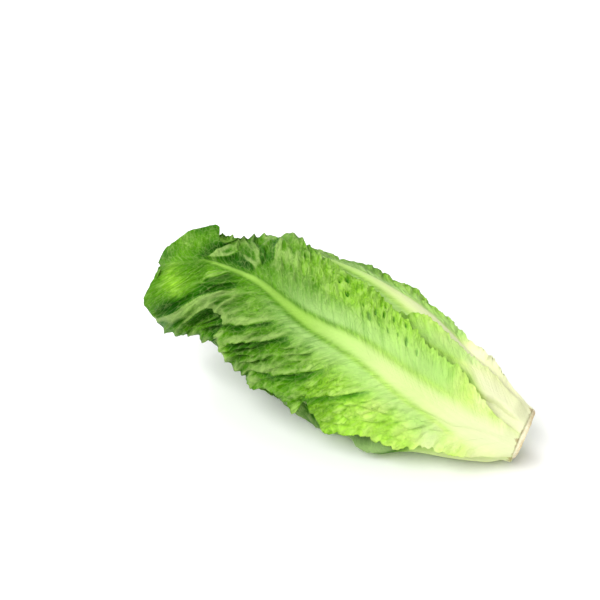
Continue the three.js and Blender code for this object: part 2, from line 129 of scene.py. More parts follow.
# midrib of the low leaf, which comes out from under the front leaf near the butt
FIFTH_RIB = [(0, -2.6, -88), (0.08, 14, -84), (0.15, 30, -76), (0.24, 50, -75), (0.4, 86, -86),
             (0.7, 152, -92), (1, 222, -84)]

FRONT = "leaf_01"
# turn: midrib angle at base and tip; wide: half widths up and down; span: where it starts
# and ends; shell: share of the head radius; ruffle: height of the waves; flare: how far the
# upper and lower margins stand off; crinkle: height of the blisters on both halves; green:
# how green the blade is; droop: how far the tip sinks; toothed: size of the upper teeth;
# stout: size of the midrib; closing: share of its radius that the tip loses as it leans in
# over the head's end; on_top and low: the leaves that show over and under the front one;
# grid: columns along and across
OUTER = {
    "leaf_01": dict(turn=(-18, 22), wide=(56, 58), span=(-2.6, 230), shell=1.0, ruffle=3.0,
                    flare=(2, 6), crinkle=(0.55, 1.35), green=0.0, grid=(308, 152)),
    "leaf_02": dict(turn=(26, 26), wide=(44, 50), span=(-2.6, 214), shell=0.97, ruffle=1.4,
                    flare=(2, 0), crinkle=(0.4, 0.4), green=-0.15, grid=(220, 108)),
    "leaf_03": dict(turn=(61, 74), wide=(52, 50), span=(-2.6, 226), shell=1.05, ruffle=2.6,
                    flare=(4, 0), crinkle=(1.0, 0.6), green=-0.2, droop=6, stout=1.45, toothed=1.6,
                    on_top=True, grid=(240, 120)),
    "leaf_04": dict(turn=(-128, -132), wide=(32, 54), span=(-2.6, 222), shell=0.88, ruffle=1.4,
                    flare=(1, 0), crinkle=(0.8, 0.8), green=0.1, grid=(220, 108)),
    "leaf_05": dict(turn=(-90, -76), wide=(50, 46), span=(-2.6, 222), shell=0.88, ruffle=1.6,
                    flare=(0, 0), crinkle=(0.9, 0.9), green=0.1, low=True, grid=(220, 108)),
    "leaf_06": dict(turn=(150, 162), wide=(54, 54), span=(-2.6, 228), shell=0.9, ruffle=2.4,
                    flare=(1, 1), crinkle=(1.0, 1.0), green=0.05, droop=5, grid=(230, 112)),
    "leaf_07": dict(turn=(-44, -28), wide=(46, 48), span=(6, 210), shell=0.78, ruffle=1.3,
                    flare=(0, 0), crinkle=(0.8, 0.8), green=-0.1, closing=0.3, grid=(130, 64)),
    "leaf_08": dict(turn=(116, 126), wide=(48, 48), span=(5, 214), shell=0.78, ruffle=1.3,
                    flare=(0, 0), crinkle=(0.8, 0.8), green=-0.05, closing=0.3, grid=(130, 64)),
}
# outer and inner leaves: how far round they reach in radians, blade, midrib's width and height
OUTER_BUILD = dict(outer=True, reach=1.65, blade=BLADE, stout=1, proud=1.0)
INNER_BUILD = dict(outer=False, reach=1.25, blade=0.4, stout=0.8, proud=0.6)
PLANS = {FRONT: dict(rib=FRONT_RIB, up=FRONT_UP, down=FRONT_DOWN),
         "leaf_02": dict(up=SECOND_UP), "leaf_03": dict(up=THIRD_UP),
         "leaf_05": dict(rib=FIFTH_RIB)}
# margins of other leaves that lie over a leaf, and on which side of them it shows; painted shade lies
# beside them
SHADE_MARGINS = {"leaf_02": [(FRONT_UP, 1)], "leaf_05": [(FRONT_DOWN, -1)],
           "leaf_07": [(FRONT_DOWN, -1)]}
INNER_COUNT = 12
GOLDEN_ANGLE = 137.5
# patches of the front leaf where its green differs, painted light and shade: along and turn, half sizes,
# how much.
# The flat of the lower lobe has a painted highlight, and the folds under it and behind the flap painted
# shade.
FRONT_LIGHT_AND_SHADE = [((220, -13), (12, 17), -0.36), ((214, -33), (7, 9), 0.3), ((181, 31), (6, 8), 0.25)]

# creases of the front leaf: a sharp step down on one side, a soft fall on the other.
# line: (along, turn) points, the high side on the left going from first to last;
# height: of the step; soft: how far the fall runs
CREASES = [
    dict(line=[(210, 19), (206, 24), (204, 32), (200, 41)], height=5.0, soft=7),
    dict(line=[(191, 38), (195, 30), (201, 26), (209, 21)], height=3.6, soft=5),
    dict(line=[(176, 28), (184, 32), (190, 40)], height=3.6, soft=6),
    dict(line=[(180, 48), (176, 38), (173, 34)], height=3.0, soft=6),
    dict(line=[(188, 17), (194, 10), (201, 3)], height=2.8, soft=6),
    dict(line=[(184, 11), (191, 4), (202, -2)], height=3.2, soft=6),
    dict(line=[(221, -48), (212, -33), (204, -19), (198, -9), (190, -1), (182, 6)], height=6.0,
         soft=10),
    dict(line=[(177, -19), (184, -15), (190, -15), (195, -22), (200, -32)], height=5.4, soft=6),
    dict(line=[(172, -44), (177, -37), (182, -32), (178, -22)], height=6.0, soft=8),
    dict(line=[(160, -22), (170, -28)], height=2.6, soft=7),
    dict(line=[(168, 42), (172, 52), (174, 64)], height=2.2, soft=6),
    dict(line=[(84, -14), (100, -26), (116, -32)], height=2.0, soft=8),
    dict(line=[(112, -12), (128, -26), (146, -34)], height=2.0, soft=8),
    dict(line=[(140, -6), (156, -20), (170, -30)], height=2.4, soft=8),
    dict(line=[(150, 0), (164, -12), (178, -20)], height=2.0, soft=8),
]

# studio in metres and watts
FLOOR_SIZE = 3.0
SKY_STRENGTH = 0.55
LIGHT_AIM = (0, 0, 0.04)
CAMERA_TURN, CAMERA_RISE, CAMERA_AWAY = math.radians(26), math.radians(38), 0.842
CAMERA_AIM = (-0.0284, 0.0053, 0.0716)
CAMERA_LENS = 85


# ---- small helpers ----------------------------------------------------------
def smooth(v):
    """Soft step from 0 to 1."""
    c = np.clip(v, 0.0, 1.0)
    return c * c * (3 - 2 * c)


def rise(v, start, over):
    """Soft step from 0 at start to 1 once v is past it by over, which may run backwards."""
    return smooth((v - start) / over)


def hump(v, middle, half):
    """Soft bump of height 1 at the middle, nearly gone at twice its half width."""
    return np.exp(-(((v - middle) / half) ** 2))


def jitter(n):
    """A fixed random share for a whole number."""
    v = math.sin(n * 12.9898 + 4.1) * 43758.5453
    return v - math.floor(v)


def curve(points, v):
    """Smooth curve through (place, value) points."""
    xs, ys = np.array(points, float).T
    before = np.maximum(np.arange(len(xs)) - 1, 0)
    after = np.minimum(np.arange(len(xs)) + 1, len(xs) - 1)
    slopes = (ys[after] - ys[before]) / (xs[after] - xs[before])
    v = np.clip(v, xs[0], xs[-1])
    i = np.clip(np.searchsorted(xs, v, side="right") - 1, 0, len(xs) - 2)
    w = xs[i + 1] - xs[i]
    t = (v - xs[i]) / w
    return (ys[i] * (2 * t**3 - 3 * t**2 + 1) + slopes[i] * w * (t**3 - 2 * t**2 + t)
            + ys[i + 1] * (3 * t**2 - 2 * t**3) + slopes[i + 1] * w * (t**3 - t**2))


def chance(ix, iy, seed):
    """A fixed random share for each whole-number place."""
    v = np.sin(ix * 127.1 + iy * 311.7 + seed * 74.7) * 43758.5453
    return v - np.floor(v)


def waves(x, y, seed):
    """Soft random waves, about -1 to 1, one hill or hollow per unit."""
    ix, iy = np.floor(x), np.floor(y)
    fx, fy = x - ix, y - iy
    u, v = fx**3 * (fx * (fx * 6 - 15) + 10), fy**3 * (fy * (fy * 6 - 15) + 10)
    corner = []
    for dx in (0, 1):
        for dy in (0, 1):
            a = chance(ix + dx, iy + dy, seed) * 2 * math.pi
            corner.append(np.cos(a) * (fx - dx) + np.sin(a) * (fy - dy))
    near = corner[0] + u * (corner[2] - corner[0])
    far = corner[1] + u * (corner[3] - corner[1])
    return 1.5 * (near + v * (far - near))


def puffs(x, y, seed):
    """Distance into the nearest cell from its border, and that cell's own share."""
    ix, iy = np.floor(x), np.floor(y)
    first = np.full(np.shape(x), 9.0)
    second = first.copy()
    own = first.copy()
    for dx in (-1, 0, 1):
        for dy in (-1, 0, 1):
            cx, cy = ix + dx, iy + dy
            px = cx + 0.5 + 0.85 * (chance(cx, cy, seed) - 0.5)
            py = cy + 0.5 + 0.85 * (chance(cx, cy, seed + 3) - 0.5)
            d = np.hypot(px - x, py - y)
            closer = d < first
            second = np.where(closer, first, np.minimum(second, d))
            own = np.where(closer, chance(cx, cy, seed + 7), own)
            first = np.where(closer, d, first)
    return second - first, own


# ---- head coordinates -------------------------------------------------------
# A place is (along, turn, out): millimetres along the leaf from the butt, angle
# round the axis from the front leaf, and distance out. Past CAP_START the outward
# direction swings over the end, so leaf tips bend over it.
def lean(x):
    """How far the axis is off its straight line."""
    return TIP_LEAN * rise(x, 95, 110)


def stand(x, y, z):
    """From the head's own frame to the floor's frame."""
    c, s = math.cos(AXIS_TILT), math.sin(AXIS_TILT)
    return np.stack([-x * c + z * s, -y, x * s + z * c + AXIS_LIFT], axis=-1)


def head_point(along, turn, r):
    """Places on the floor's frame of points given in head coordinates."""
    bend = np.maximum(0, along - CAP_START) / CAP_BEND
    x = np.minimum(along, CAP_START) + r * np.sin(bend)
    rho = r * np.cos(bend)
    a = turn + FACE_ANGLE
    off = lean(x)
    lean_turn = FACE_ANGLE + math.pi / 2
    return stand(x, rho * np.cos(a) + off * math.cos(lean_turn),
                 rho * np.sin(a) + off * math.sin(lean_turn))


# ---- the space already taken by inner leaves --------------------------------
# a map of the head: rows every two millimetres along it, columns round it
ROWS, COLS, ROW_STEP, ROW_FROM = 142, 128, 2.0, -15.0
taken = np.zeros((ROWS, COLS))


def take(along, turn, out):
    """Marks the space under a leaf's points as taken."""
    i = np.clip(np.floor((along - ROW_FROM) / ROW_STEP).astype(int), 0, ROWS - 1)
    j = np.floor(turn / (2 * math.pi) * COLS).astype(int) % COLS
    np.maximum.at(taken, (i, j), out)


def spread(reach=1, blurs=1):
    """The highest value within reach of each cell, softened, on top of the head's taper."""
    taper = curve(HEAD, ROW_FROM + ROW_STEP * np.arange(ROWS))[:, None]
    cells = taken - taper
    for _ in range(reach):
        cells = np.maximum.reduce([cells, np.roll(cells, 1, 1), np.roll(cells, -1, 1)])
        padded = np.pad(cells, ((1, 1), (0, 0)), mode="edge")
        cells = np.maximum.reduce([padded[:-2], padded[1:-1], padded[2:]])
    for _ in range(blurs):
        cells = (np.roll(cells, 1, 1) + 2 * cells + np.roll(cells, -1, 1)) / 4
        padded = np.pad(cells, ((1, 1), (0, 0)), mode="edge")
        cells = (padded[:-2] + 2 * padded[1:-1] + padded[2:]) / 4
    return cells + taper


def spline_weights(f):
    """Shares that four neighbouring cells have in a place between the middle two."""
    return [(1 - f) ** 3 / 6, (3 * f**3 - 6 * f * f + 4) / 6,
            (-3 * f**3 + 3 * f * f + 3 * f + 1) / 6, f**3 / 6]


def sheet(cells, along, turn):
    """Smooth sheet lying over the cells."""
    u = np.clip((along - ROW_FROM) / ROW_STEP, 0, ROWS - 1.001)
    v = turn / (2 * math.pi) * COLS
    i, j = np.floor(u).astype(int), np.floor(v).astype(int)
    wu, wv = spline_weights(u - i), spline_weights(v - j)
    total = np.zeros(np.shape(u))
    for a in range(4):
        row = np.clip(i + a - 1, 0, ROWS - 1)
        for b in range(4):
            total += wu[a] * wv[b] * cells[row, (j + b - 1) % COLS]
    return total


def pressed(cover, along, turn):
    """Share of its radius that a place keeps over the floor the heart lies on."""
    level, sharpness = 0.02, 14.0
    down = np.maximum(-np.sin(turn + FACE_ANGLE), level)
    height = along * math.sin(AXIS_TILT) + AXIS_LIFT
    room = height / (down * math.cos(AXIS_TILT)) / sheet(cover, along, turn)
    return np.where(down <= level, 1.0, (1 + room**-sharpness) ** (-1 / sharpness))


# ---- leaves -----------------------------------------------------------------
def inner_leaves():
    """The tightly packed leaves inside, smaller, paler and shorter towards the middle."""
    made = {}
    for k in range(INNER_COUNT):
        depth = (k + 1) / INNER_COUNT
        mid = 200 + GOLDEN_ANGLE * k
        made[f"leaf_{k + 9:02d}"] = dict(
            turn=(mid, mid + 10), wide=(48 - 26 * depth,) * 2, span=(9 + 3.4 * k, 188 - 9 * k),
            shell=0.74 - 0.6 * depth, ruffle=1.3 - 0.7 * depth, flare=(0, 0),
            crinkle=(0.6, 0.6), green=-0.15 - 0.35 * depth, closing=0.88, grid=(76, 36))
    return made


def teeth(along, seed, pitch):
    """Pointed teeth along a margin, 0 to 1, of random size and place, leaning to the tip."""
    cell = np.floor(along / pitch)
    best = np.zeros(np.shape(along))
    for step in (-1, 0, 1):
        here = cell + step
        centre = (here + 0.5 + 0.6 * (chance(here, 1, seed) - 0.5)) * pitch
        half = pitch * (0.34 + 0.3 * chance(here, 2, seed))
        tall = 0.25 + 0.75 * chance(here, 3, seed) ** 1.4
        off = along - centre
        slope = np.where(off > 0, np.abs(off) / (half * 0.6), np.abs(off) / (half * 1.3))
        best = np.maximum(best, tall * np.clip(1 - slope, 0, 1) ** 0.85)
    return best


def traced(table, s):
    """A place on a margin or midrib at a share of the leaf's length: along and turn."""
    rows = np.array(table)
    return curve(rows[:, :2], s), curve(rows[:, ::2], s)


def margin_cut(leaf, s, up, side, along):
    """Millimetres that the margin stands out or in: teeth of three sizes on slow lobes."""
    seed = leaf["seed"]
    # the cuts are deep near the base and faint near the tip
    cut = (0.3 + 2.6 * rise(s, 0.03, 0.12) * (1 - rise(s, 0.42, 0.2))
           + 1.4 * rise(s, 0.45, 0.2) * (1 - rise(s, 0.8, 0.1)))
    cut = np.where(up, leaf.get("toothed", 1) * cut, cut)
    edge = sum(tall * teeth(along, seed * draw + np.where(up, *start), pitch)
               for pitch, tall, draw, start in TEETH)
    lobes = 1.4 * waves(along / LOBE, side, seed * 41) * rise(s, 0.1, 0.3)
    if leaf["front"]:
        cut = cut * np.where(up, 1 - 0.55 * rise(s, 0.5, 0.1), 1 - 0.6 * rise(s, 0.3, 0.1))
        lower = lobes + 2.2 * waves(along / SMALL_LOBE, side, 3) * rise(s, 0.3, 0.1)
        lobes = np.where(up, lobes, lower)
    return cut * (edge - 0.35) + lobes


def leaf_plan(leaf, s, t):
    """Where a leaf's points lie on the head, and how far they are from its midrib."""
    up = t > 0
    side = np.where(up, 1.0, -1.0)
    w = np.abs(t)
    plan = leaf["plan"]
    base, end = leaf["span"]
    length = end - base
    first, last = leaf["turn"]
    along = base + length * s
    mid = first + (last - first) * rise(along, 5, 150)
    if "rib" in plan:
        along, mid = traced(plan["rib"], s)
    half = np.where(up, *leaf["wide"]) * curve(OUTLINE, s)
    # the margins fall back behind the midrib towards the tip
    out_along = along - min(24, 0.1 * length) * rise(s, 0.55, 0.45) * w * w
    out_turn = side * np.degrees(np.minimum(half * w / curve(GIRTH, out_along), leaf["reach"]))
    for key, here in (("up", up), ("down", ~up)):
        if key in plan:
            edge_along, edge_turn = traced(plan[key], s)
            out_along = np.where(here, along + (edge_along - along) * w**1.5, out_along)
            out_turn = np.where(here, (edge_turn - mid) * w, out_turn)
    along, mid = out_along, np.radians(mid)
    turn = mid + np.radians(out_turn)
    over_end = np.maximum(0, along - CAP_START) / CAP_BEND
    girth = np.maximum(12, curve(GIRTH, along) * np.cos(over_end))
    turn = turn + side * margin_cut(leaf, s, up, side, along) * rise(w, 0.72, 0.28) / girth
    off = (turn - mid) * girth
    away = np.abs(off)
    run = along - base
    # lateral veins leave the rib towards the tip and flatten out
    splay = np.where(up, 0.5, 0.72) if leaf["front"] else 0.62
    drift = 1.6 * waves(run / 25, away / 18 * side, leaf["seed"] + 5)
    flow = run - 8 * (1 - np.exp(-away / 8)) - splay * away + drift
    return SimpleNamespace(s=s, t=t, w=w, up=up, side=side, along=along, turn=turn,
                           run=run, off=off, away=away, flow=flow)


def midrib(leaf, at):
    """Broad and high at the base, a thin cord near the tip: its size, section and borders, with a line
    of painted shade along its edges.
    """
    wide = curve(RIB_WIDE, at.s) * leaf["stout"]
    slim = rise(at.s, 0, 0.62)
    high = RIB_BASE_HIGH * (1 - slim) + RIB_TIP_HIGH * slim - 0.8 * rise(at.s, 0.6, 0.35)
    high = leaf["proud"] * high * rise(at.s, 0.99, -0.12)
    high = high * (0.45 + 0.55 * rise(at.along, 0, 40))
    body = np.exp(-((at.away / wide) ** 2.6))
    cord = np.exp(-((at.away / (wide * 0.98)) ** 3.6)) * (1 - 0.75 * rise(at.s, 0.82, 0.06))
    # a line of painted shade along the rib's edges; the surface has no groove there
    edge_shade = hump(at.away, wide * 1.12, 0.5 + wide * 0.1) * rise(at.s, 0.3, 0.25)
    blade = rise(at.away, wide * 0.9, 4)
    return SimpleNamespace(wide=wide, high=high, body=body, cord=cord, edge_shade=edge_shade, blade=blade)


def beside_line(line, x, y):
    """Signed distance from a line of points, positive on its left, and the share run along it."""
    best = np.full(np.shape(x), 1e9)
    signed = best.copy()
    share = best.copy()
    for k, ((ax, ay), (bx, by)) in enumerate(zip(line, line[1:])):
        dx, dy = bx - ax, by - ay
        span = math.hypot(dx, dy)
        u = ((x - ax) * dx + (y - ay) * dy) / span**2
        held = np.clip(u, 0, 1)
        dist = np.hypot(x - ax - held * dx, y - ay - held * dy)
        across = (dx * (y - ay) - dy * (x - ax)) / span
        nearer = dist < best
        best = np.where(nearer, dist, best)
        signed = np.where(nearer, np.where(across >= 0, dist, -dist), signed)
        share = np.where(nearer, (k + u) / (len(line) - 1), share)
    return signed, share


def crease_steps(along, turn):
    """Heights that the creases add to the front leaf, and the painted shade of each place: dark in the
    pocket under a step, lighter on the crest over it.
    """
    steps = np.zeros(np.shape(along))
    crease_shade = np.zeros(np.shape(along))
    for crease in CREASES:
        line = [(a, math.radians(b) * CREASE_RADIUS) for a, b in crease["line"]]
        signed, share = beside_line(line, along, turn * CREASE_RADIUS)
        fade = rise(share, -0.25, 0.5) * rise(share, 1.25, -0.5)
        below = np.minimum(signed, 0)
        high = np.exp(-np.maximum(signed, 0) / crease["soft"])
        low = -0.45 * np.exp(below / 3.0)
        steps += crease["height"] * fade * (low + (high - low) * rise(signed, -0.9, 1.2))
        # the pocket under the step gets painted shade, the crest over it a painted highlight
        pocket = (0.95 * hump(below, 0, 2.2) + 0.4 * hump(below, 0, 6.0)) * rise(signed, 0.6, -1.0)
        crest = hump(signed, 1.6, 1.5) * (signed > 0)
        crease_shade = crease_shade + crease["height"] / 2.6 * fade * (pocket - 0.4 * crest)
    return steps, crease_shade


def in_cells(at, size):
    """Places counted in cells of a pattern, along and across the lateral veins."""
    return at.flow / size[0], at.away / size[1]


def sunken_pits(leaf, at, gate):
    """Small round pits scattered over the blade, one to a cell at most."""
    x, y = in_cells(at, PIT_CELL)
    ix, iy = np.floor(x), np.floor(y)
    off = np.hypot((x - ix - 0.5 - 0.8 * (chance(ix, iy, 5) - 0.5)) * PIT_CELL[0],
                   (y - iy - 0.5 - 0.8 * (chance(ix, iy, 6) - 0.5)) * PIT_CELL[1] * 0.55)
    size = 2.3 * (chance(ix, iy, leaf["seed"] * 11) - 0.4)
    pit = smooth((size - off) / 0.7 + 0.3) * (size > 0.3)
    if not leaf["front"]:
        return 0.4 * pit * gate
    pit = pit * np.where(at.up, rise(at.w, 0.5, 0.1) * rise(at.w, 0.97, -0.1), 0.35)
    return pit * rise(at.s, 0.2, 0.1) * (1 - rise(at.s, 0.62, 0.1))


def blade_relief(leaf, at, rib):
    """Height of the blade's skin: blisters, ridges along the laterals, pits and slow swells; and its
    painted shade, darker in the valleys and pits, lighter on the crests.
    """
    s, w, up, seed = at.s, at.w, at.up, leaf["seed"]
    border, own = puffs(*in_cells(at, BLISTER), seed * 13 + np.where(up, 1, 6))
    deep, small = puffs(*in_cells(at, SMALL_BLISTER), seed * 29 + np.where(up, 2, 9))
    blister = rise(border, 0, 0.55) * (0.3 + own) + 0.3 * rise(deep, 0, 0.5) * small
    wander = 1.2 * waves(*in_cells(at, WANDER), seed + 31)
    x, y = in_cells(at, RIDGE)
    ridges = 1 - 2.4 * np.abs(waves(x + wander, y + 3, seed * 3 + 1))
    x, y = in_cells(at, RIPPLE)
    ripples = 1 - 2.0 * np.abs(waves(x + wander, y + 7, seed * 3 + 2))
    # puffy blisters near the base and the margins, ridges elsewhere, none on the rib
    outer_part = rise(w, 0.2, 0.35)
    gate = rib.blade * (0.4 + 0.6 * outer_part) * rise(s, 0.05, 0.2)
    puffy = rise(w, 0.32, 0.3) * (1 - rise(s, 0.5, 0.2))
    if leaf["front"]:
        gate = gate * np.where(up, 0.35 + 0.5 * outer_part, 1.0) * (1 - 0.75 * rise(s, 0.84, 0.08))
        puffy = np.where(up, 0.5 * puffy, puffy)
    crinkle = np.where(up, *leaf["crinkle"])
    rough = crinkle * gate * ((1 - puffy) * (0.9 * ridges + 0.6 * ripples)
                              + puffy * (1.3 * blister + 0.3 * ridges - 0.6))
    pit = sunken_pits(leaf, at, gate)
    swell = waves(*in_cells(at, SWELL), seed * 5 + 2)
    relief = rough - 1.6 * pit + 1.7 * crinkle * swell * rib.blade * (0.3 + 0.7 * w)
    # painted shade: darker in the valleys of the relief and in the pits, lighter on its crests
    shade = (0.4 - 0.3 * rough / np.maximum(crinkle, 0.3) * (0.5 + 0.5 * rise(s, 0.2, 0.3))
             + 0.85 * pit)
    if leaf["front"]:
        return front_folds(leaf, at, rib, relief, shade)
    return relief, shade


def front_folds(leaf, at, rib, relief, shade):
    """Loose folds, pleats and creases of the front leaf, on top of its relief and painted shade; the
    shade is painted deeper in their hollows and lighter on their crests.
    """
    s, w, up, seed = at.s, at.w, at.up, leaf["seed"]
    x, y = in_cells(at, FOLD)
    bend = x + 0.8 * waves(*in_cells(at, FOLD_BEND), seed + 17)
    folds = 1 - 2.6 * np.abs(waves(bend, y + 5, seed * 7 + 3)) ** 0.85
    folded = np.where(up, rise(s, 0.55, 0.2), rise(s, 0.3, 0.35))
    folded = folded * rib.blade * rise(w, 0.12, 0.3) * (1 - 0.8 * rise(s, 0.88, 0.08))
    relief = relief + 2.3 * folded * folds
    # pleats fan out from where the rib has thinned out
    reach = at.run - PLEATS_FROM
    fan = np.arctan2(at.off, reach + 26)
    pleat = np.sin(fan * 11 + 1.4 * waves(reach / 22, at.off / 16, 8)) + 0.5 * np.sin(fan * 23 + 2)
    pleated = rise(s, 0.6, 0.16)
    relief = relief + 0.8 * pleat * pleated * rise(w, 0, 0.25) * (1 - 0.7 * rise(s, 0.88, 0.1))
    steps, crease_shade = crease_steps(at.along, at.turn)
    relief = relief + steps * smooth((0.99 - w) / 0.12 + 0.2)
    over = relief - PROUD_LIMIT
    relief = np.where(up & (over > 0), PROUD_LIMIT + 0.35 * over, relief)
    # painted shade in the creases' pockets and the pleats' hollows, and a painted highlight on the
    # crests of the folds
    shade = shade + crease_shade + 0.06 * (1 - pleat) * pleated
    return relief, shade - 0.2 * folded * folds


def margin_waves(leaf, at):
    """Slow ruffles and a fine frill, both growing towards the margins."""
    seed, ruffle = leaf["seed"], leaf["ruffle"]
    wave = (np.sin(at.run / 4.9 + seed * 7 + np.where(at.up, 0, 1.7) + at.t * 2)
            + 0.5 * np.sin(at.run / 8.3 + seed * 3 + np.where(at.up, 0, 3.4)))
    ruffles = ruffle * (at.w**2.4 * rise(at.s, 0, 0.25)) * (0.5 + 0.33 * wave)
    rate = 0.28 * ruffle * at.w**6 * rise(at.s, 0, 0.12)
    return ruffles, rate * (1 + waves(at.run / 3.6, at.side, seed * 7))


def curled_lobe(at):
    """Share of the low leaf's lobe that curls out under the front leaf."""
    return hump(at.s, 0.335, 0.055) * hump(at.t, 0.3, 0.2)


def margin_flare(leaf, at):
    """Millimetres that parts of the blade stand off the head."""
    s, t = at.s, at.t
    flare = np.where(at.up, *leaf["flare"]) * at.w**3 * rise(s, 0, 0.15) * (1 - rise(s, 0.45, 0.25))
    if leaf["front"]:
        # the lower lobe of the tip, the flap behind it and both margins at mid length
        lobe = 8 * rise(s, 0.78, 0.12) * rise(t, -0.05, -0.7) * (1 - 0.75 * rise(s, 0.97, 0.03))
        flap = 3.4 * hump(s, 0.928, 0.022) * rise(t, 0.45, 0.55)
        upper = 2.4 * rise(s, 0.6, 0.1) * (1 - rise(s, 0.84, 0.05)) * rise(t, 0.4, 0.6)
        lower = 4 * rise(s, 0.4, 0.1) * (1 - rise(s, 0.7, 0.1)) * rise(t, -0.4, -0.6)
        flare = flare + lobe + flap + upper + lower
    if leaf.get("on_top"):
        # it lies flat again just above the butt
        flare = flare - 2.4 * hump(s, 0.23, 0.06) * rise(t, 0.1, 0.4)
    if leaf.get("low"):
        # it bellies out beside the butt, curls under the front leaf and has a crumpled fold
        belly = hump(t, 0.1, 0.4) * rise(s, 0, 0.07) * (1 - rise(s, 0.26, 0.16))
        lump = hump(s, 0.45, 0.16) * hump(t, 0.4, 0.26)
        crumpled = 7.0 * lump * (0.8 + 0.5 * waves(at.along / 11, at.turn * 3, 77))
        flare = flare + 4.5 * belly + 7.5 * curled_lobe(at) + crumpled
    return flare


def head_shell(leaf, at):
    """Radius at which the leaf lies when nothing under it pushes it out."""
    # even the innermost leaf keeps a tenth of the head's radius
    share = leaf["shell"] * 0.9 + 0.1
    bulge = max(0, share - 1) * (1 - rise(at.along, 105, 50))
    droop = leaf.get("droop", 0) * rise(at.along, 165, 40)
    shell = curve(HEAD, at.along) * (min(share, 1) + bulge) - droop
    # the tips of the inner leaves lean in and close the head
    return shell * (1 - leaf.get("closing", 0) * rise(at.s, 0.45, 0.55))


def leaf_green(leaf, at, rib):
    """How green the blade is: pale at the base, deep at the tip, patchy on the leaves in view, with
    patches of painted highlight and painted shade on the front leaf.
    """
    s, t, along, turn = at.s, at.t, at.along, at.turn
    green = (0.05 + 0.24 * rise(s, 0.04, 0.25) + 0.48 * rise(s, 0.3, 0.36)
             + 0.03 * rise(s, 0.76, 0.16) + 0.05 * at.w * rise(s, 0.1, 0.3) + leaf["green"])
    if leaf["front"]:
        pale_base = rib.blade * rise(s, 0.08, 0.1) * (1 - rise(s, 0.4, 0.15))
        green = green - 0.12 * ~at.up * pale_base
        green = green - 0.22 * rise(at.w, 0.4, 0.2) * at.up * hump(s, 0.59, 0.11)
        green = green + 0.16 * waves(along / 13, turn * 2.6, 61) * rise(s, 0.6, 0.2)
        # patches of painted highlight and painted shade
        for (at_along, at_turn), (long, wide), more in FRONT_LIGHT_AND_SHADE:
            off = ((along - at_along) / long) ** 2 + ((np.degrees(turn) - at_turn) / wide) ** 2
            green = green + more * np.exp(-off)
    if leaf.get("on_top"):
        green = green + 0.14 * rise(at.away, 1.1 * rib.wide, 5) * rise(t, 0.02, 0.1)
    if leaf.get("low"):
        # the low leaf is greener on its upper half past the butt, and its lobe curled under the front
        # leaf is painted deeper green as painted shade
        green = green + 0.5 * rise(t, 0.06, 0.16) * rise(s, 0.23, 0.06) + 0.15 * curled_lobe(at)
    return green


def leaf_tone(leaf, at, rib, shade):
    """Point colours for the material: rib, green, painted shade and the painted sheen beside the rib."""
    s, along = at.s, at.along
    green = leaf_green(leaf, at, rib)
    if leaf.get("low"):
        # painted shade on the lobe that curls under the front leaf
        shade = shade + 0.6 * curled_lobe(at)
    # painted shade beside the margin of the leaf above: the tissue there is painted a stronger green,
    # its pale rib and sheen are taken out, and spots of painted shadow run along the margin
    margin_shade = np.zeros(np.shape(s))
    for edge, sign in leaf["shade_margins"]:
        # the stretch of that margin that runs steadily up the head
        places = np.array([p[1:] for p in edge if p[0] < 0.8 and p[1] < 190])
        beyond = sign * (np.degrees(at.turn) - np.interp(along, *places.T)) * MM_PER_DEGREE
        near = hump(beyond, 0, 7) * rise(along, 12, 30) * (1 - rise(along, 120, 50))
        green = green + 0.42 * near
        margin_shade = np.maximum(margin_shade, near)
        shadow_spots = rise(waves(along / 4.5, along / 9, 7), 0.15, 0.3)
        shade = shade + (0.25 + 0.6 * shadow_spots) * hump(beyond, 1.5, 2.6) * rise(along, 12, 30)
    # painted shade along the rib's edges
    shade = np.clip(shade + 0.2 * rib.edge_shade * (1 - rise(s, 0.8, 0.06)), 0, 1)
    # the front leaf's rib is too smooth to take any shade
    on_rib = 0.0 if leaf["front"] else 0.5
    shade = 0.4 + (shade - 0.4) * np.maximum(np.maximum(rib.blade, rib.edge_shade), on_rib)
    # painted sheen: a pale silvery band beside the rib
    painted_sheen = hump(at.away, rib.wide * 1.6, 9) * rib.blade
    painted_sheen = painted_sheen * rise(s, 0.1, 0.12) * (1 - rise(s, 0.5, 0.25))
    return np.stack([rib.cord * (1 - 0.8 * margin_shade), np.clip(green, 0, 1), shade,
                     painted_sheen * (1 - margin_shade)], axis=-1)


def foot_scars(leaf, at):
    """Brown scars that run up from the cut edge of the leaf's foot like small teeth."""
    scarred = chance(np.floor(at.turn * 3.5), 2, leaf["seed"]) > 0.35
    top = SCAR_TOP + 3.8 * teeth(at.turn * 15, leaf["seed"] * 19, SCAR_PITCH) * scarred
    return smooth((top - at.along) / 0.8) * rise(at.along, CUT_AT, 1.0)


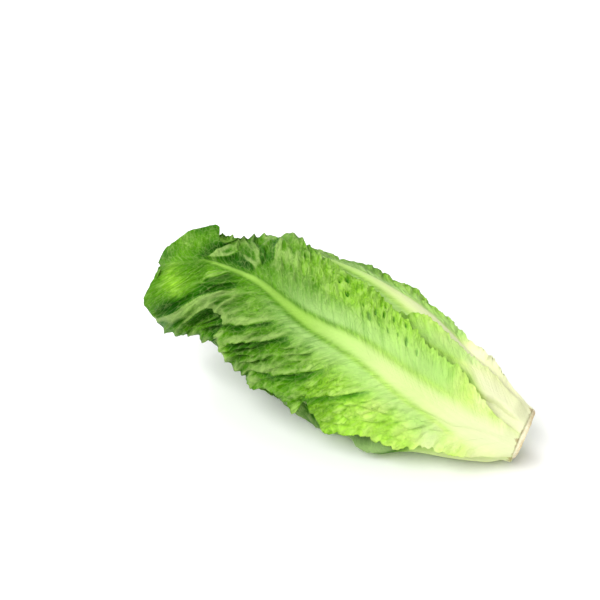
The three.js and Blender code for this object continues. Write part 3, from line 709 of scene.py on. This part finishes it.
def leaf_surface(leaf, s, t, outside):
    """Places and tones of a leaf's points, from their shares along and across."""
    at = leaf_plan(leaf, s, t)
    rib = midrib(leaf, at)
    relief, shade = blade_relief(leaf, at, rib)
    ruffles, frill = margin_waves(leaf, at)
    need = sheet(leaf["under"], at.along, at.turn) + LEAF_GAP
    out = np.maximum(need, head_shell(leaf, at)) + ruffles + frill + margin_flare(leaf, at)
    root = 1.0 if leaf["outer"] else rise(s, -0.004, 0.03)
    thick = THINNEST + (leaf["blade"] - THINNEST + rib.high * rib.body) * root
    if leaf["outer"]:
        # the fleshy foot is cut off with the stem
        thick = thick + FOOT_FLESH * hump(at.along, -3, 8) * np.exp(-((at.away / 13) ** 4))
        out = FOOT_RADIUS + (out - FOOT_RADIUS) * rise(at.along, -5.5, 13)
    else:
        sunk = curve(STEM, at.along) - 0.8
        out = sunk + (out - sunk) * rise(s, 0, 0.03)
    r = np.maximum(out + relief * rise(s, 0, 0.1), np.minimum(out, need - 0.3))
    flow = np.stack([at.flow, at.away * at.side, np.full(np.shape(s), leaf["seed"] * 50)], axis=-1)
    return SimpleNamespace(along=at.along, turn=at.turn, r=r + np.where(outside, thick, 0),
                           tone=leaf_tone(leaf, at, rib, shade), flow=flow,
                           scar=foot_scars(leaf, at))


def leaf_blank(columns_along, columns_across):
    """A thin flat sheet: x is the share along, y across, z tells its two faces apart."""
    bm = bmesh.new()
    bmesh.ops.create_grid(bm, x_segments=columns_along, y_segments=columns_across, size=1.0)
    bmesh.ops.solidify(bm, geom=bm.faces[:], thickness=0.5)
    return bm


def finish_piece(name, bm, places, attributes, material, node, seam=False):
    """Puts the points in their places, closes the seam and stands for the node."""
    mesh = bpy.data.meshes.new(name)
    bm.to_mesh(mesh)
    bm.free()
    mesh.vertices.foreach_set("co", (places / 1000).astype(np.float32).ravel())
    for key, (kind, field, values) in attributes.items():
        layer = mesh.attributes.new(key, kind, "POINT")
        layer.data.foreach_set(field, values.astype(np.float32).ravel())
    fixed = bmesh.new()
    fixed.from_mesh(mesh)
    if seam:
        bmesh.ops.remove_doubles(fixed, verts=fixed.verts[:], dist=1e-6)
    bmesh.ops.recalc_face_normals(fixed, faces=fixed.faces[:])
    for f in fixed.faces:
        f.smooth = True
    fixed.to_mesh(mesh)
    fixed.free()
    mesh.materials.append(material)
    piece = bpy.data.objects.new(name, mesh)
    bpy.context.scene.collection.objects.link(piece)
    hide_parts(node)
    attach(piece, "root")


# ---- stem -------------------------------------------------------------------
def stem_ring(at, r, slanted=0.0):
    """One ring of the solid stem's corners; only the ring of the cut face is slanted."""
    rim = np.radians(np.arange(0, 360, 360 / STEM_SIDES))
    a = rim + FACE_ANGLE
    x = at - slanted * math.tan(CUT_SLANT) * r * np.cos(rim)
    inset = 1 - RIM_INSET * slanted
    return stand(x, inset * r * np.cos(a), inset * r * np.sin(a))


def stem_shift():
    """How far the solids were moved from the head's own place, read from the stem's box."""
    low, high = [np.array(corner) * 1000 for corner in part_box("stem")]
    own = np.concatenate([stem_ring(CUT_AT, BUTT_RADIUS, 1.0), stem_ring(RIM_END, BUTT_RADIUS)])
    return np.array([high[0] - own[:, 0].max(), high[1] - own[:, 1].max(), low[2] - own[:, 2].min()])


def add_stem(shift):
    """Cut face and tapering side: rows of the sheet run from the face's middle over its rim."""
    bm = bmesh.new()
    bmesh.ops.create_grid(bm, x_segments=160, y_segments=110, size=1.0)
    flat = np.array([v.co[:] for v in bm.verts])
    round_share, row = (flat[:, 0] + 1) / 2, (flat[:, 1] + 1) / 2
    turn = round_share * 2 * math.pi
    face = row <= FACE_ROWS
    on_face = np.clip(row / FACE_ROWS, 0, 1)
    up_side = np.clip((row - FACE_ROWS) / (1 - FACE_ROWS), 0, 1)
    r_face = BUTT_RADIUS * (1 - RIM_INSET) * on_face
    at = CUT_AT + STEM_LONG * up_side**1.6
    r = np.where(face, r_face, curve(STEM, at))
    trim = np.where(face, 1, 1 - RIM_INSET * np.exp(-((at - CUT_AT) / 0.8)))
    lumps = (0.35 * waves(turn * 2.2, at / 4 + 3, 4)
             + 0.5 * waves(np.cos(turn) * 1.5, np.sin(turn) * 1.5, 9))
    r = r * trim + lumps * np.where(row > 0.3, 1, on_face)
    slant = -math.tan(CUT_SLANT) * r * np.cos(turn) * np.exp(-(np.maximum(at - CUT_AT, 0) / 3.0))
    pulled = 0.25 * waves(r * np.cos(turn) / 3, r * np.sin(turn) / 3, 2)
    x = at + slant + np.where(face, pulled, 0)
    # leaf scars ring the side just behind the rim
    scars = hump(at, 0.4 + 0.5 * np.sin(turn * 3), 0.35) * (chance(np.floor(turn * 3), 1, 3) > 0.45)
    scars = scars * ~face
    r = r - 0.35 * scars
    a = turn + FACE_ANGLE
    places = stand(x, r * np.cos(a), r * np.sin(a)) + shift
    from_rim = np.where(face, BUTT_RADIUS - r_face, (at - CUT_AT) * 0.8)
    core = np.where(face, rise(on_face, 0.62, -0.1), 0)
    tone = np.stack([hump(from_rim, 0, 1.1), scars, core, np.ones_like(row)], axis=-1)
    finish_piece("stem_flesh", bm, places, {"tone": ("FLOAT_COLOR", "color", tone)},
                 stem_material(), "stem", seam=True)


# ---- materials --------------------------------------------------------------
# how many cells of a pattern come to the metre, or to the millimetre of flow along the
# lateral veins, across them and in depth
BLOTCHES = 80.0  # patches of tissue about 12 mm across
GRAINS = 1600.0  # pores of the skin, coarser than real ones so that they show
CRUMPLES = (0.24, 0.17, 1.0)
VEIN_NET = (0.36, 0.24, 1.0)
FEATHERS = (0.62, 0.045, 1.0)
STRINGS = (0.02, 1.1, 1.0)
FLESH_PATCHES = 220.0
FLESH_FLECKS = 900.0


def colour(hexed, alpha=1.0):
    parts = [int(hexed[i:i + 2], 16) / 255 for i in (1, 3, 5)]
    return (*[c / 12.92 if c <= 0.04045 else ((c + 0.055) / 1.055) ** 2.4 for c in parts], alpha)


def add(tree, kind, inputs=None, stops=None, **settings):
    """Outputs of one node, made with its settings, its values and its links."""
    node = tree.nodes.new(kind)
    for key, value in settings.items():
        setattr(node, key, value)
    for key, value in (inputs or {}).items():
        if isinstance(value, bpy.types.NodeSocket):
            tree.links.new(value, node.inputs[key])
        else:
            node.inputs[key].default_value = value
    for place, (at, tint) in enumerate(stops or []):
        if place > 1:
            node.color_ramp.elements.new(at)
        node.color_ramp.elements[place].position = at
        node.color_ramp.elements[place].color = colour(tint)
    return node.outputs


def new_material(name):
    mat = bpy.data.materials.new(name)
    mat.use_nodes = True
    mat.node_tree.nodes.clear()
    return mat, mat.node_tree


def layered(tree, ground, layers):
    """A colour with tints laid over it, each at a share times a strength."""
    for share, strength, tint in layers:
        amount = add(tree, "ShaderNodeMath", {0: share, 1: strength}, operation="MULTIPLY")[0]
        ground = add(tree, "ShaderNodeMix", {0: amount, 6: ground, 7: tint}, data_type="RGBA")[2]
    return ground


def crumples(tree, flow, loose):
    """Crisp crumples 2 to 3 mm wide: lines of the valleys, and the crests between them."""
    crumpled = add(tree, "ShaderNodeMapping", {"Vector": flow, "Scale": CRUMPLES})["Vector"]
    crumple = add(tree, "ShaderNodeTexNoise", {"Vector": crumpled, "Scale": 1.0, "Detail": 4.0,
                                               "Roughness": 0.6, "Distortion": 0.9})["Fac"]
    apart = add(tree, "ShaderNodeMath", {0: crumple, 1: 0.5}, operation="SUBTRACT")[0]
    apart = add(tree, "ShaderNodeMath", {0: apart}, operation="ABSOLUTE")[0]
    found = []
    for near, far, first, last in ((0.0, 0.05, 1.0, 0.0), (0.08, 0.2, 0.0, 1.0)):
        lines = add(tree, "ShaderNodeMapRange", {"Value": apart, "From Min": near, "From Max": far,
                                                 "To Min": first, "To Max": last})["Result"]
        found.append(add(tree, "ShaderNodeMath", {0: lines, 1: loose}, operation="MULTIPLY")[0])
    return found


def vein_net(tree, flow, bare):
    """Net of small veins with meshes about 3 mm across."""
    squeezed = add(tree, "ShaderNodeMapping", {"Vector": flow, "Scale": VEIN_NET})["Vector"]
    net = add(tree, "ShaderNodeTexVoronoi", {"Vector": squeezed, "Scale": 1.0, "Randomness": 1.0},
              feature="DISTANCE_TO_EDGE")["Distance"]
    vein = add(tree, "ShaderNodeMapRange", {"Value": net, "From Min": 0.0, "From Max": 0.08,
                                            "To Min": 1.0, "To Max": 0.0})["Result"]
    return add(tree, "ShaderNodeMath", {0: vein, 1: bare}, operation="MULTIPLY")[0]


def feather_lines(tree, flow, green, tender):
    """Fine lines that leave the rib about 1.6 mm apart and fade where the leaf is green."""
    combed = add(tree, "ShaderNodeMapping", {"Vector": flow, "Scale": FEATHERS})["Vector"]
    feather = add(tree, "ShaderNodeTexNoise", {"Vector": combed, "Scale": 1.0, "Detail": 3.0,
                                               "Roughness": 0.6})["Fac"]
    fading = add(tree, "ShaderNodeMapRange", {"Value": green, "From Min": 0.55, "From Max": 0.9,
                                              "To Min": 1.0, "To Max": 0.25})["Result"]
    line = add(tree, "ShaderNodeMath", {0: feather, 1: 0.45}, operation="SUBTRACT")[0]
    line = add(tree, "ShaderNodeMath", {0: line, 1: fading}, operation="MULTIPLY")[0]
    furrow = add(tree, "ShaderNodeMapRange", {"Value": feather, "From Min": 0.46, "From Max": 0.34,
                                              "To Min": 0.0, "To Max": 0.32})["Result"]
    for mask in (fading, tender):
        furrow = add(tree, "ShaderNodeMath", {0: furrow, 1: mask}, operation="MULTIPLY")[0]
    return feather, line, furrow


def leaf_material(name, blade_stops, rib_stops):
    """Living leaf: waxy skin over translucent flesh. Its veins and crumples catch the eye as
    pale lines on deep green, its rib as a smooth, nearly white cord; painted shade, painted highlight
    and a painted sheen beside the rib are laid into its colour."""
    mat, tree = new_material(name)
    tone = add(tree, "ShaderNodeAttribute", attribute_name="tone")
    rib, green, shade = add(tree, "ShaderNodeSeparateColor", {"Color": tone["Color"]})
    painted_sheen = tone["Alpha"]
    flow = add(tree, "ShaderNodeAttribute", attribute_name="flow")["Vector"]
    place = add(tree, "ShaderNodeTexCoord")["Object"]
    # darker and lighter blotches of tissue
    blotch = add(tree, "ShaderNodeTexNoise", {"Vector": place, "Scale": BLOTCHES, "Detail": 3.0})["Fac"]
    drift = add(tree, "ShaderNodeMath", {0: blotch, 1: 0.5}, operation="SUBTRACT")[0]
    depth = add(tree, "ShaderNodeMath", {0: drift, 1: 0.4, 2: green}, operation="MULTIPLY_ADD")[0]
    tissue = add(tree, "ShaderNodeValToRGB", {"Fac": depth}, stops=blade_stops)["Color"]
    # painted shade makes low-lying tissue a deeper green, and a painted highlight makes raised tissue
    # lighter
    deep = add(tree, "ShaderNodeMix", {0: 1.0, 6: tissue, 7: colour("#72b42a")},
               data_type="RGBA", blend_type="MULTIPLY")[2]
    pale = add(tree, "ShaderNodeMix", {0: 0.6, 6: tissue, 7: colour("#dcf59a")}, data_type="RGBA")[2]
    sunk = add(tree, "ShaderNodeMath", {0: shade, 1: 1.5, 2: -0.6}, operation="MULTIPLY_ADD")[0]
    # crumples are faint on the smooth green tip, on tender tissue, beside the rib and on it
    loose = add(tree, "ShaderNodeMapRange", {"Value": green, "From Min": 0.6, "From Max": 0.95,
                                             "To Min": 1.0, "To Max": 0.3})["Result"]
    tender = add(tree, "ShaderNodeMapRange", {"Value": green, "From Min": 0.1, "From Max": 0.45,
                                              "To Min": 0.35, "To Max": 1.0})["Result"]
    plain = add(tree, "ShaderNodeMath", {0: painted_sheen, 1: -0.7, 2: 1.0}, operation="MULTIPLY_ADD")[0]
    bare = add(tree, "ShaderNodeMath", {0: 1.0, 1: rib}, operation="SUBTRACT")[0]
    for mask in (tender, plain, bare):
        loose = add(tree, "ShaderNodeMath", {0: loose, 1: mask}, operation="MULTIPLY")[0]
    valley, crest = crumples(tree, flow, loose)
    vein = vein_net(tree, flow, bare)
    veined = add(tree, "ShaderNodeMath", {0: green, 1: 0.22, 2: 0.06}, operation="MULTIPLY_ADD")[0]
    feather, line, furrow = feather_lines(tree, flow, green, tender)
    # painted shade on low-lying tissue and in the crumples' valleys, painted highlight on raised tissue
    # and the crumples' crests, paler veins and feather lines, a painted sheen of silvery green in a band
    # beside the rib, and darker furrows
    tissue = layered(tree, tissue, [
        (sunk, 1.0, deep), (sunk, -1.0, pale), (valley, 0.36, deep), (crest, 0.4, pale),
        (vein, veined, pale), (line, 1.0, pale), (painted_sheen, 0.68, colour("#c2e892")),
        (furrow, 1.0, deep)])
    # fine strings run up the rib, about 1 mm apart
    strings = add(tree, "ShaderNodeMapping", {"Vector": flow, "Scale": STRINGS})["Vector"]
    string = add(tree, "ShaderNodeTexNoise", {"Vector": strings, "Scale": 1.0, "Detail": 2.0})["Fac"]
    flesh = add(tree, "ShaderNodeValToRGB", {"Fac": green}, stops=rib_stops)["Color"]
    flesh = layered(tree, flesh, [(string, 0.22, colour("#c0e486"))])
    # the foot has dried brown scars
    scar = add(tree, "ShaderNodeAttribute", attribute_name="scar")["Fac"]
    skin = layered(tree, tissue, [(rib, 1.0, flesh), (scar, 0.62, colour("#a5834e"))])
    # relief of the skin: veins stand up, valleys of the crumples lie low
    grain = add(tree, "ShaderNodeTexNoise", {"Vector": place, "Scale": GRAINS, "Detail": 2.0})["Fac"]
    stringy = add(tree, "ShaderNodeMath", {0: string, 1: rib}, operation="MULTIPLY")[0]
    height = 0.0
    for part, tall in ((grain, 0.25), (vein, 0.3), (feather, 1.1), (valley, -0.8), (crest, 0.7),
                       (stringy, 0.5)):
        height = add(tree, "ShaderNodeMath", {0: part, 1: tall, 2: height},
                     operation="MULTIPLY_ADD")[0]
    bump = add(tree, "ShaderNodeBump", {"Height": height, "Strength": 0.7, "Distance": 0.0008})["Normal"]
    rough = add(tree, "ShaderNodeMath", {0: blotch, 1: 0.16, 2: 0.34}, operation="MULTIPLY_ADD")[0]
    surface = add(tree, "ShaderNodeBsdfPrincipled", {
        "Base Color": skin, "Roughness": rough, "IOR": 1.42, "Specular IOR Level": 0.26,
        "Specular Tint": colour("#d2fa78"), "Normal": bump})["BSDF"]
    glow = add(tree, "ShaderNodeBsdfTranslucent", {"Color": skin})["BSDF"]
    both = add(tree, "ShaderNodeMixShader", {0: 0.25, 1: surface, 2: glow})["Shader"]
    add(tree, "ShaderNodeOutputMaterial", {"Surface": both})
    return mat


def stem_material():
    """Cut stem: moist cream flesh, with a tan line where the cut edge browns and dries."""
    mat, tree = new_material("cut_stem_flesh")
    tone = add(tree, "ShaderNodeAttribute", attribute_name="tone")
    dry, scar, core = add(tree, "ShaderNodeSeparateColor", {"Color": tone["Color"]})
    place = add(tree, "ShaderNodeTexCoord")["Object"]
    patch = add(tree, "ShaderNodeTexNoise", {"Vector": place, "Scale": FLESH_PATCHES,
                                             "Detail": 4.0})["Fac"]
    fleck = add(tree, "ShaderNodeTexNoise", {"Vector": place, "Scale": FLESH_FLECKS,
                                             "Detail": 3.0})["Fac"]
    flesh, pith, tan = [
        add(tree, "ShaderNodeValToRGB", {"Fac": pattern}, stops=stops)["Color"]
        for pattern, stops in ((patch, [(0.3, "#efeac0"), (0.7, "#f8f6d8")]),
                               (fleck, [(0.35, "#dccf9c"), (0.7, "#f0e8c0")]),
                               (fleck, [(0.3, "#a8824a"), (0.7, "#d8c08a")]))]
    broken = add(tree, "ShaderNodeMapRange", {"Value": patch, "From Min": 0.35, "From Max": 0.75,
                                              "To Min": 1.0, "To Max": 0.15})["Result"]
    flesh = layered(tree, flesh, [(core, 1.0, pith), (dry, broken, tan),
                                  (scar, 0.7, colour("#b08a55"))])
    bump = add(tree, "ShaderNodeBump", {"Height": fleck, "Strength": 0.5, "Distance": 0.0006})["Normal"]
    surface = add(tree, "ShaderNodeBsdfPrincipled", {
        "Base Color": flesh, "Roughness": 0.5, "IOR": 1.4, "Normal": bump})["BSDF"]
    add(tree, "ShaderNodeOutputMaterial", {"Surface": surface})
    return mat


def floor_material():
    """Matt white paint that gives back a soft shadow."""
    mat, tree = new_material("pale_studio_floor")
    surface = add(tree, "ShaderNodeBsdfPrincipled", {"Base Color": colour("#fbfbfb"),
                                                     "Roughness": 0.9})["BSDF"]
    add(tree, "ShaderNodeOutputMaterial", {"Surface": surface})
    return mat


outer_skin = leaf_material(
    "romaine_leaf_outer",
    [(0.0, "#f6fcba"), (0.11, "#def882"), (0.24, "#b8ee4c"), (0.44, "#8fcc28"), (0.68, "#62a30e"),
     (1.0, "#2a6e02")],
    [(0.0, "#fffed8"), (0.25, "#edfab0"), (0.45, "#cef08c"), (0.7, "#9ccc50"), (1.0, "#4f8a10")])
inner_skin = leaf_material(
    "romaine_leaf_inner",
    [(0.0, "#f2f6b4"), (0.3, "#d8ee86"), (0.6, "#a8d653"), (1.0, "#5a9c26")],
    [(0.0, "#fbfadc"), (0.5, "#e8f2b4"), (1.0, "#b4d67a")])

# ---- grow the heart from the middle out -------------------------------------
along_rows = ROW_FROM + ROW_STEP * np.arange(ROWS)
stem_radius = np.where(along_rows > CORE_END, 0.5, curve(STEM, along_rows) - 0.3)
taken[:] = stem_radius[:, None]
grown = []
for number, (name, leaf) in reversed(list(enumerate({**OUTER, **inner_leaves()}.items()))):
    build = OUTER_BUILD if name in OUTER else INNER_BUILD
    leaf = {**build, **leaf, "front": name == FRONT, "seed": jitter(number + 1),
            "plan": PLANS.get(name, {}), "shade_margins": SHADE_MARGINS.get(name, [])}
    leaf["under"] = spread(2, 3) if leaf["front"] else spread()
    blank = leaf_blank(*leaf["grid"])
    flat = np.array([v.co[:] for v in blank.verts])
    skin = leaf_surface(leaf, (flat[:, 0] + 1) / 2, flat[:, 1], np.abs(flat[:, 2]) < 0.1)
    take(skin.along, skin.turn, skin.r)
    grown.append((name, leaf, blank, skin))

# the whole head is pressed on the floor, then placed where the solids are
cover = spread()
shift = stem_shift()
for name, leaf, blank, skin in grown:
    r = skin.r * pressed(cover, skin.along, skin.turn)
    places = head_point(skin.along, skin.turn, r) + shift
    places[:, 2] = np.maximum(places[:, 2], 0.0)
    finish_piece(f"{name}_skin", blank, places,
                 {"tone": ("FLOAT_COLOR", "color", skin.tone),
                  "flow": ("FLOAT_VECTOR", "vector", skin.flow),
                  "scar": ("FLOAT", "value", skin.scar)},
                 outer_skin if leaf["outer"] else inner_skin,
                 name)
add_stem(shift)

# ---- floor, light and camera ------------------------------------------------
bm = bmesh.new()
bmesh.ops.create_grid(bm, x_segments=1, y_segments=1, size=FLOOR_SIZE)
mesh = bpy.data.meshes.new("floor")
bm.to_mesh(mesh)
bm.free()
mesh.materials.append(floor_material())
floor = bpy.data.objects.new("floor", mesh)
bpy.context.scene.collection.objects.link(floor)

world = bpy.data.worlds.new("studio")
bpy.context.scene.world = world
world.use_nodes = True
world.node_tree.nodes["Background"].inputs["Color"].default_value = (1, 1, 1, 1)
world.node_tree.nodes["Background"].inputs["Strength"].default_value = SKY_STRENGTH


def softbox(name, place, size, power):
    """A rectangle of light that looks at the middle of the heart."""
    lamp = bpy.data.lights.new(name, "AREA")
    lamp.shape = "RECTANGLE"
    lamp.size, lamp.size_y = size
    lamp.energy = power
    box = bpy.data.objects.new(name, lamp)
    bpy.context.scene.collection.objects.link(box)
    box.location = place
    way = Vector(LIGHT_AIM) - Vector(place)
    box.rotation_euler = way.to_track_quat("-Z", "Y").to_euler()


softbox("key_softbox", (-0.1, -0.6, 0.85), (0.7, 0.5), 9.8)
softbox("side_softbox", (-0.5, 0.5, 0.9), (0.6, 0.6), 5.2)

back = np.array([math.sin(CAMERA_TURN) * math.cos(CAMERA_RISE),
                 -math.cos(CAMERA_TURN) * math.cos(CAMERA_RISE), math.sin(CAMERA_RISE)])
camera = bpy.data.cameras.new("camera")
camera.lens, camera.sensor_width = CAMERA_LENS, 36
eye = bpy.data.objects.new("camera", camera)
bpy.context.scene.collection.objects.link(eye)
eye.location = np.array(CAMERA_AIM) + back * CAMERA_AWAY
eye.rotation_euler = Vector(-back).to_track_quat("-Z", "Y").to_euler()
bpy.context.scene.camera = eye
bpy.context.scene.view_settings.view_transform = "Standard"
